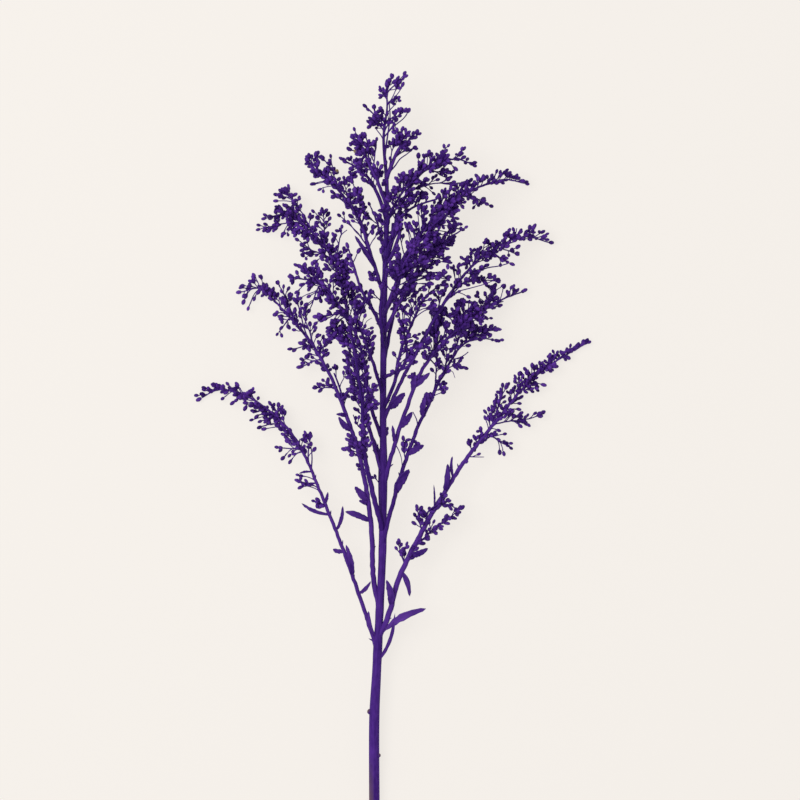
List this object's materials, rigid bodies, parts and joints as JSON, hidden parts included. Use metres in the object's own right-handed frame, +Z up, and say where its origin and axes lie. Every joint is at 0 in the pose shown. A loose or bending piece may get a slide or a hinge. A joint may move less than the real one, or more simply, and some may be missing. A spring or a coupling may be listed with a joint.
{
  "type": "goldenrod",
  "caption": "Cut goldenrod stem, dyed violet, lying down: a straight stalk with arching sprays of small flower heads on both sides and small lance-shaped leaves low down.",
  "frame": {"origin": "on the surface that the stem lies on, under the middle of the plant's bounding box", "axes": "+Y along the stem, from the cut foot to the flowering tip; +Z up, away from the surface; +X to the right for a viewer who looks down on it with the tip away from them"},
  "size_m": [0.2425, 0.4962, 0.0779],
  "materials": {
    "stem": "dyed violet plant stalk, dull with a faint sheen, lengthwise ribs",
    "spray": "dyed violet plant tissue, dull"
  },
  "bodies": {
    "root": {"main_stem": "stem", "spray_left_low": "spray", "spray_right_low": "spray", "spray_left_mid": "spray", "spray_right_mid": "spray", "spray_front_low": "spray", "spray_right_fifth": "spray", "spray_left_inner": "spray", "spray_back_low": "spray", "spray_left_third": "spray", "spray_right_fourth": "spray", "spray_right_inner": "spray", "spray_left_center": "spray", "spray_right_near": "spray", "spray_back_mid": "spray", "spray_front_mid": "spray", "spray_left_short": "spray", "spray_right_third": "spray", "spray_front_high": "spray", "spray_right_second": "spray", "spray_left_high": "spray", "spray_back_high": "spray", "spray_right_first": "spray", "spray_front_top": "spray", "spray_left_top": "spray", "spray_left_tip": "spray", "spray_right_top": "spray"}
  },
  "joints": []
}
